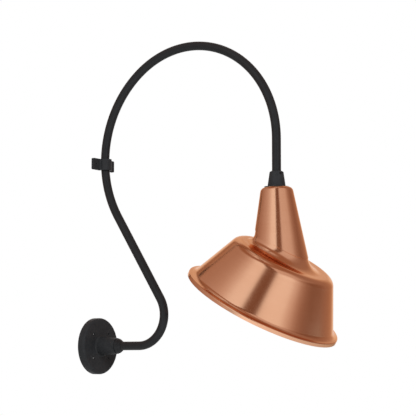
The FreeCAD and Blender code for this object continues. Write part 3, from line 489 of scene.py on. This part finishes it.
# %% [markdown]
# The neck and the dome aren't in this list. Meshes of this script stand for them below, and for the arm.

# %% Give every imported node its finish
FINISH_OF_NODE = {
    "wall_plate": cast_black, "pipe_strap": cast_black, "neck_coupling": cast_black,
    "hub_collar": powder_black, "arm_tube": powder_black,
    "hub_set_screw": oxide_black, "coupling_set_screw": oxide_black, "ground_screw": green_zinc,
    "wall_gasket": rubber, "wire_bushing": rubber, "swivel_washer": rubber, "under_washer": rubber,
    "stem": zinc, "stem_locknut": zinc, "holder_screws": zinc, "lampholder_cap": aluminium,
    "lampholder_body": porcelain, "screw_shell": brass, "centre_contact": brass,
    "bulb_glass": frosted_glass, "bulb_base": nickel, "bulb_insulator": black_glass,
    "bulb_contact": solder, "lead_black": lead_black, "lead_white": lead_white,
}
for name, material in FINISH_OF_NODE.items():
    node = nodes[name]
    if not node.material_slots:
        node.data.materials.append(material)
    for material_slot in node.material_slots:
        material_slot.material = material
print("finishes on", len(FINISH_OF_NODE), "nodes")

# %% [markdown]
# ## Turned and spun forms
#
# A lathe and a spinning form both make the same thing: an outline turned about an axis. The outline is
# grown from one vertex. A straight stretch extrudes it, and a rounded corner spins it about the corner's
# centre, which gives a true arc. A guard vertex a little before and after each arc keeps the shading of
# the flats flat. Then one full spin makes the surface.

# %% Draw an outline and turn it
GUARD = 0.6 * MM
ARC_STEPS = 14
TURN_STEPS = 192
WELD = 1e-7
CREASE = 35


def corner_arc(before, corner, after, radius):
    """Where a rounding starts and ends, its centre and its signed turn, in the outline's plane."""
    arriving = (corner - before).normalized()
    leaving = (after - corner).normalized()
    turn_angle = arriving.angle(leaving)
    reach_back = radius * math.tan(turn_angle / 2)
    start = corner - arriving * reach_back
    inward = (leaving - arriving).normalized()
    centre = corner + inward * (radius / math.cos(turn_angle / 2))
    side = arriving.cross(leaving).y
    return start, corner + leaving * reach_back, centre, turn_angle * (1 if side > 0 else -1)


def draw_line(form, last, place):
    """One vertex more, joined to the last one."""
    grown = bmesh.ops.extrude_vert_indiv(form, verts=[last])["verts"][0]
    grown.co = place
    return grown


def draw_outline(form, corners):
    """Corners are (radius, height) or (radius, height, rounding), in millimetres."""
    spots = [Vector((corner[0] * MM, 0, corner[1] * MM)) for corner in corners]
    pen = form.verts.new(spots[0])
    for index in range(1, len(corners)):
        rounding = corners[index][2] * MM if len(corners[index]) > 2 else 0
        if not rounding:
            pen = draw_line(form, pen, spots[index])
            continue
        start, end, centre, swing = corner_arc(spots[index - 1], spots[index], spots[index + 1], rounding)
        guard = min(GUARD, rounding / 4)
        pen = draw_line(form, pen, start + (start - spots[index]).normalized() * guard)
        pen = draw_line(form, pen, start)
        swung = bmesh.ops.spin(form, geom=[pen], cent=centre, axis=(0, 1, 0), angle=swing,
                               steps=ARC_STEPS)
        pen = next(item for item in swung["geom_last"] if isinstance(item, bmesh.types.BMVert))
        pen = draw_line(form, pen, end + (end - spots[index]).normalized() * guard)


def turn_full(form):
    """The outline goes once round the Z axis."""
    bmesh.ops.spin(form, geom=form.verts[:] + form.edges[:], cent=(0, 0, 0), axis=(0, 0, 1),
                   angle=2 * math.pi, steps=TURN_STEPS, use_merge=True)
    bmesh.ops.remove_doubles(form, verts=form.verts, dist=WELD)


def to_piece(form, name, place, body, node, material):
    """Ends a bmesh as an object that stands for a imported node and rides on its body."""
    bmesh.ops.recalc_face_normals(form, faces=form.faces)
    bmesh.ops.transform(form, matrix=place, verts=form.verts)
    for face in form.faces:
        face.smooth = True
    for edge in form.edges:
        if edge.is_boundary or edge.calc_face_angle(0) > math.radians(CREASE):
            edge.smooth = False
    mesh = bpy.data.meshes.new(name)
    form.to_mesh(mesh)
    form.free()
    mesh.materials.append(material)
    piece = bpy.data.objects.new(name, mesh)
    bpy.context.scene.collection.objects.link(piece)
    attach(piece, body)
    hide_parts(node)
    print(name, "faces", len(mesh.polygons))
    return piece


def rot(angle):
    return Matrix.Rotation(math.radians(angle), 4, "X")


def moved(x, y, z):
    return Matrix.Translation(Vector((x, y, z)) * MM)


print("outlines turn in", TURN_STEPS, "steps")

# %% [markdown]
# ## The bent arm
#
# Half-inch pipe goes round three formers: a tight bend out of the wall plate, then two wide bends that
# make the hook. In the mesh the pipe's end circle is extruded along each straight run and spun round each
# bend's centre, which is what the bending machine does. The wall gets its thickness from Solidify. A bend
# is its radius and its angle in degrees.

# %% Bend the pipe
ARM_INSET = 13.0
ARM_OUT = 136.1
ARM_WALL = 2.77
LOW_BEND = (75.0, 122.28)
ARM_RISE = 245.9
BACK_BEND = (268.2, 85.98)
TOP_BEND = (248.8, LOW_BEND[1] - BACK_BEND[1] + 90)
ARM_DROP = 95.3
PIPE_SIDES = 48
RUN_PIECES = 2
LEAST_STEPS = 24
DEGREES_A_STEP = 1.5

arm_form = bmesh.new()
ring = bmesh.ops.create_circle(arm_form, segments=PIPE_SIDES, radius=pipe_radius,
                               matrix=moved(0, -ARM_INSET, 0) @ rot(90))["verts"]
ring_edges = list({edge for vert in ring for edge in vert.link_edges})
spot = Vector((0, -ARM_INSET * MM, 0))
heading = Vector((0, -1, 0))


def push_pipe(edges, spot, heading, length):
    """A straight run of pipe."""
    for piece in range(RUN_PIECES):
        grown = bmesh.ops.extrude_edge_only(arm_form, edges=edges)["geom"]
        verts = {item for item in grown if isinstance(item, bmesh.types.BMVert)}
        edges = [item for item in grown if isinstance(item, bmesh.types.BMEdge)]
        bmesh.ops.translate(arm_form, verts=list(verts), vec=heading * (length * MM / RUN_PIECES))
        edges = [edge for edge in edges if all(vert in verts for vert in edge.verts)]
    return edges, spot + heading * length * MM, heading


def bend_pipe(edges, spot, heading, radius, angle, side):
    """A bend: side 1 turns the heading from out to up, side -1 turns it back down."""
    normal = Vector((0, heading.z, -heading.y)) * side
    centre = spot + normal * radius * MM
    swing = -math.radians(angle) * side
    steps = max(LEAST_STEPS, round(angle / DEGREES_A_STEP))
    swept = bmesh.ops.spin(arm_form, geom=edges + list({v for e in edges for v in e.verts}), cent=centre,
                           axis=(1, 0, 0), angle=swing, steps=steps)
    edges = [item for item in swept["geom_last"] if isinstance(item, bmesh.types.BMEdge)]
    turning = Matrix.Rotation(swing, 3, "X")
    return edges, centre + turning @ (spot - centre), turning @ heading


end = push_pipe(ring_edges, spot, heading, ARM_OUT - ARM_INSET)
end = bend_pipe(*end, *LOW_BEND, 1)
end = push_pipe(*end, ARM_RISE)
end = bend_pipe(*end, *BACK_BEND, -1)
end = bend_pipe(*end, *TOP_BEND, -1)
_, spot, heading = push_pipe(*end, ARM_DROP)
print("the arm ends at", [round(part, 5) for part in spot],
      "heading", [round(part, 4) for part in heading])
arm = to_piece(arm_form, "bent_arm", Matrix(), "arm", "arm_tube", powder_black)
arm_wall = arm.modifiers.new("pipe_wall", "SOLIDIFY")
arm_wall.thickness = ARM_WALL * MM
arm_wall.offset = -1

# %% [markdown]
# ## The copper shade
#
# The shade is two spinnings. The dome is wide and shallow, with a flare and a rolled band at its rim. Its
# flat top is pulled up into an oval collar, and the leaning neck laps over that collar. The sheet is one
# millimetre, and both pieces are drawn as their outer skin, with the wall added inwards.

# %% Where the neck and the dome sit
SHEET = 1.0
STEM_HOLE = 8.7
NECK_TOP = 37.05
NECK_ROUND = 10.8
NECK_TAPER = math.radians(10.13)
NECK_LENGTH = 155.8
NECK_LEAN = 2.34
SHADE_ANGLE = 32.24
DOME_SHIFT = 20.0
DOME_HEIGHT = 129.8
WASHER = 1.95
SWIVEL_GAP = 0.08
FOOT_HEIGHT = 24.0
FOOT_TILT = 2.0
FOOT_LAP = 8.0
COVE_HEIGHT = 20.0
COVE_PINCH = 7.0

neck_level = coupling_low.z / MM - SWIVEL_GAP - WASHER
neck_place = moved(0, -reach / MM, neck_level) @ rot(-NECK_LEAN)
crossing = neck_place @ moved(0, 0, -NECK_LENGTH) @ rot(SHADE_ANGLE)
dome_place = crossing @ moved(0, -DOME_SHIFT, -DOME_HEIGHT)
neck_copper = spun_metal("neck_copper", neck_place, COPPER_LIGHT, COPPER_DARK, POLISHED)
dome_copper = spun_metal("dome_copper", dome_place, COPPER_LIGHT, COPPER_DARK, POLISHED)
raw_copper = spun_metal("raw_copper", dome_place, RAW_LIGHT, RAW_DARK, UNPOLISHED)
print("the rim's centre", [round(value, 4) for value in dome_place.translation])

# %% [markdown]
# The neck is a cone with a rounded top. It is drawn too long and then cut at a slant, by a plane that
# leans two degrees more than the dome's top.

# %% Spin the neck
DRAWN_LENGTH = NECK_LENGTH * 1.5

neck_form = bmesh.new()
draw_outline(neck_form, [
    (STEM_HOLE, 0),
    (NECK_TOP, 0, NECK_ROUND),
    (NECK_TOP + DRAWN_LENGTH * math.tan(NECK_TAPER), -DRAWN_LENGTH),
])
turn_full(neck_form)
cut = neck_place.inverted() @ crossing @ moved(0, 0, FOOT_HEIGHT) @ rot(FOOT_TILT)
bmesh.ops.bisect_plane(neck_form, geom=neck_form.verts[:] + neck_form.edges[:] + neck_form.faces[:],
                       plane_co=cut.translation, plane_no=cut.to_3x3() @ Vector((0, 0, 1)),
                       clear_inner=True)
neck = to_piece(neck_form, "spun_neck", neck_place, "shade", "shade_neck", neck_copper)

# %% [markdown]
# The dome's outline stops on its flat top. From there the open edge is extruded ring by ring, each ring
# a millimetre above the last, so that its height tells which ring it is. Every vertex is then laid on its
# place in the oval collar, which keeps every quad in line. A cove between a plane and a cone is the path
# of a ball that touches both, so each ring of the cove is found from the ball's centre: it goes from
# straight below the centre, on the plane, round to the cone. The ball is small where the neck leans over
# the dome and large on the open side, and the cove is lower where the collar comes close to the shoulder.

# %% Spin the dome
RIM_RADIUS = 190.3
RIM_BAND = 9.0
RIM_ROUND = 2.6
FLARE_WIDTH = 12.8
FLARE_RISE = 2.7
FLARE_ROUND = 14.0
DOME_TOP = 121.83
DOME_ROUND = 24.0
FLAT_RING = 1.0
COVE_RINGS = 14
COVE_GUARD = 1.2
PINCH_POWER = 4

dome_form = bmesh.new()
shoulder = DOME_ROUND * math.tan(math.atan2(DOME_HEIGHT - RIM_BAND - FLARE_RISE,
                                            RIM_RADIUS - FLARE_WIDTH - DOME_TOP) / 2)
draw_outline(dome_form, [
    (RIM_RADIUS, 0),
    (RIM_RADIUS, RIM_BAND, RIM_ROUND),
    (RIM_RADIUS - FLARE_WIDTH, RIM_BAND + FLARE_RISE, FLARE_ROUND),
    (DOME_TOP, DOME_HEIGHT, DOME_ROUND),
    (DOME_TOP - shoulder - FLAT_RING, DOME_HEIGHT),
])
turn_full(dome_form)
top_edges = [edge for edge in dome_form.edges
             if edge.is_boundary and edge.verts[0].co.z > DOME_HEIGHT * MM / 2]

axis_foot = Vector((0, DOME_SHIFT, DOME_HEIGHT))
axis_up = (rot(-SHADE_ANGLE) @ Vector((0, 0, 1, 0))).xyz
axis_side = (rot(-SHADE_ANGLE) @ Vector((0, 1, 0, 0))).xyz
at_crossing = NECK_TOP + NECK_LENGTH * math.tan(NECK_TAPER) - (SHEET + SWIVEL_GAP) / math.cos(NECK_TAPER)


def collar_place(angle, station):
    """A point of the collar at an angle round the neck's axis, in millimetres.

    The station is "guard" on the flat, a ring of the cove from 0 on the plane to COVE_RINGS on the cone,
    or "top" for the collar's upper edge.
    """
    outward = Vector((1, 0, 0)) * math.cos(angle) + axis_side * math.sin(angle)
    normal = outward * math.cos(NECK_TAPER) + axis_up * math.sin(NECK_TAPER)
    climb = axis_up - outward * math.tan(NECK_TAPER)
    if station == "top":
        start = axis_foot + outward * at_crossing
        rise = (DOME_HEIGHT + FOOT_HEIGHT + FOOT_LAP - start.z) / climb.z
        return start + climb * rise
    cove = COVE_HEIGHT - COVE_PINCH * max(0, math.sin(angle)) ** PINCH_POWER
    ball = cove / (1 - normal.z)
    start = axis_foot + outward * at_crossing + normal * ball
    centre = start + climb * ((DOME_HEIGHT + ball - start.z) / climb.z)
    if station == "guard":
        level = Vector((normal.x, normal.y, 0)).normalized()
        return centre - Vector((0, 0, ball)) + level * COVE_GUARD
    down = Vector((0, 0, -1))
    swing = down.angle(-normal)
    share = station / COVE_RINGS
    way = (down * math.sin((1 - share) * swing) - normal * math.sin(share * swing)) / math.sin(swing)
    return centre + way * ball


stations = ["guard", *range(COVE_RINGS + 1), "top"]
edges_below = top_edges
for station in stations:
    grown = bmesh.ops.extrude_edge_only(dome_form, edges=edges_below)["geom"]
    ring_verts = [item for item in grown if isinstance(item, bmesh.types.BMVert)]
    for vert in ring_verts:
        vert.co.z += MM
    edges_below = [edge for edge in grown if isinstance(edge, bmesh.types.BMEdge) and edge.is_boundary]
for vert in dome_form.verts:
    lifted = round(vert.co.z / MM - DOME_HEIGHT)
    if lifted > 0:
        vert.co = collar_place(math.atan2(vert.co.y, vert.co.x), stations[lifted - 1]) * MM
dome = to_piece(dome_form, "spun_dome", dome_place, "shade", "shade_dome", dome_copper)

# %% [markdown]
# Solidify adds the sheet's thickness inwards. The inside keeps the raw metal of the spinning, so the
# inner skin takes the second finish.

# %% Give the copper its thickness
for piece in (neck, dome):
    piece.data.materials.append(raw_copper)
    wall = piece.modifiers.new("sheet", "SOLIDIFY")
    wall.thickness = SHEET * MM
    wall.offset = -1
    wall.use_even_offset = True
    wall.material_offset = 1
    print(piece.name, "has a wall of", SHEET, "mm")
